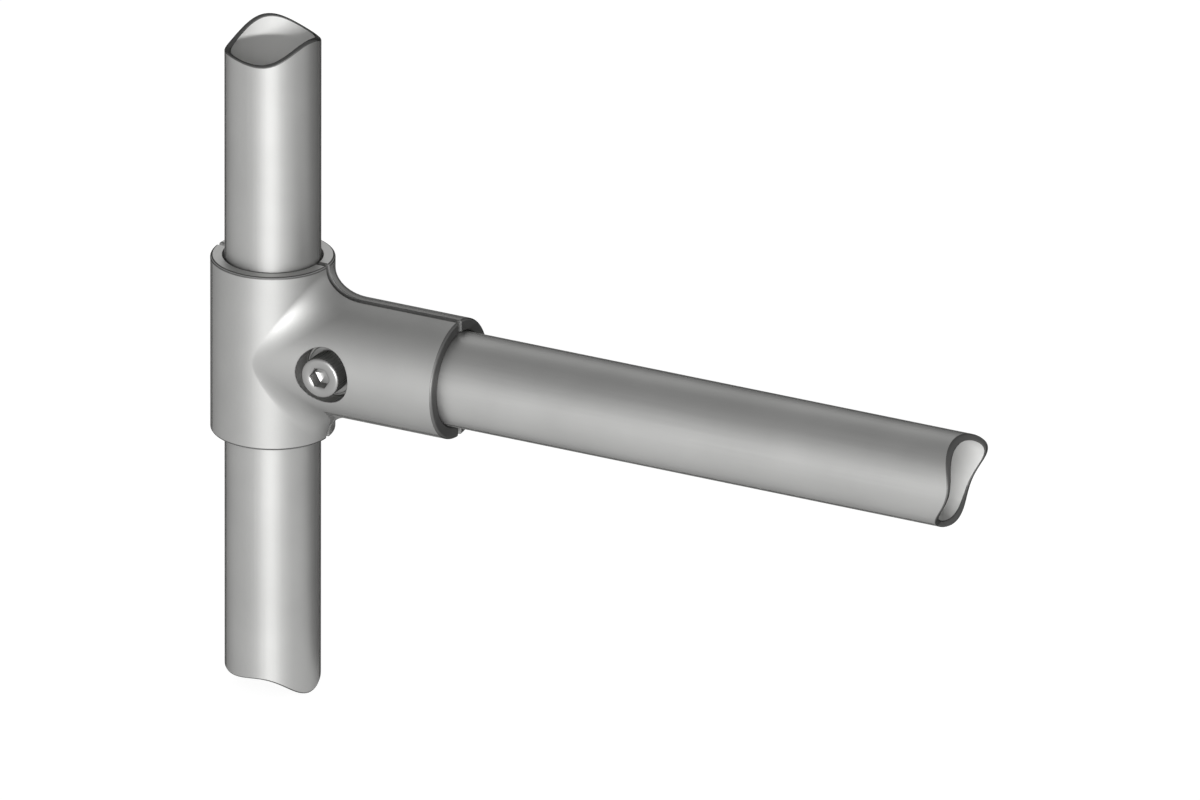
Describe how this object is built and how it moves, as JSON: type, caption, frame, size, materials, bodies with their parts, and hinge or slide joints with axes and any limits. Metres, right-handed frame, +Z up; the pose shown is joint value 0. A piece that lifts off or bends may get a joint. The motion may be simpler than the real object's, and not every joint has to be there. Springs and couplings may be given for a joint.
{
  "type": "tee tube connector",
  "caption": "Split tee clamp that joins a round rail tube square to a through-running upright tube, both gripped by a recessed socket screw.",
  "frame": {"origin": "where the axis of the upright tube and the axis of the rail tube cross, at the middle of the sleeve", "axes": "+Z up the upright tube, +X along the rail tube away from the upright, the screw head faces -Y"},
  "size_m": [0.2616, 0.0397, 0.2184],
  "materials": {
    "tube": "drawn, satin anodised",
    "casting": "die cast, bead blasted satin",
    "fastener": "zinc plated"
  },
  "bodies": {
    "upright": {"upright_tube": "tube"},
    "rear_clamp": {"rear_shell": "casting", "clamp_nut": "fastener"},
    "front_clamp": {"front_shell": "casting", "washer": "fastener"},
    "screw": {"clamp_screw": "fastener"},
    "rail": {"rail_tube": "tube"}
  },
  "joints": [
    {"name": "collar_turn", "type": "hinge", "parent": "upright", "child": "rear_clamp", "pos_m": [0, 0, 0], "axis": [0, 0, 1], "continuous": true},
    {"name": "clamp_opening", "type": "slide", "parent": "rear_clamp", "child": "front_clamp", "axis": [0, -1, 0], "range_m": [0, 0.0075]},
    {"name": "screw_turn", "type": "hinge", "parent": "front_clamp", "child": "screw", "pos_m": [0.02705, 0, 0], "axis": [0, -1, 0], "range_deg": [0, 2161]},
    {"name": "rail_slide", "type": "slide", "parent": "rear_clamp", "child": "rail", "axis": [1, 0, 0], "range_m": [0, 0.045]}
  ],
  "couplings": [
    {"joint": "screw_turn", "follows": "clamp_opening", "rad_per_m": 5026.5}
  ]
}
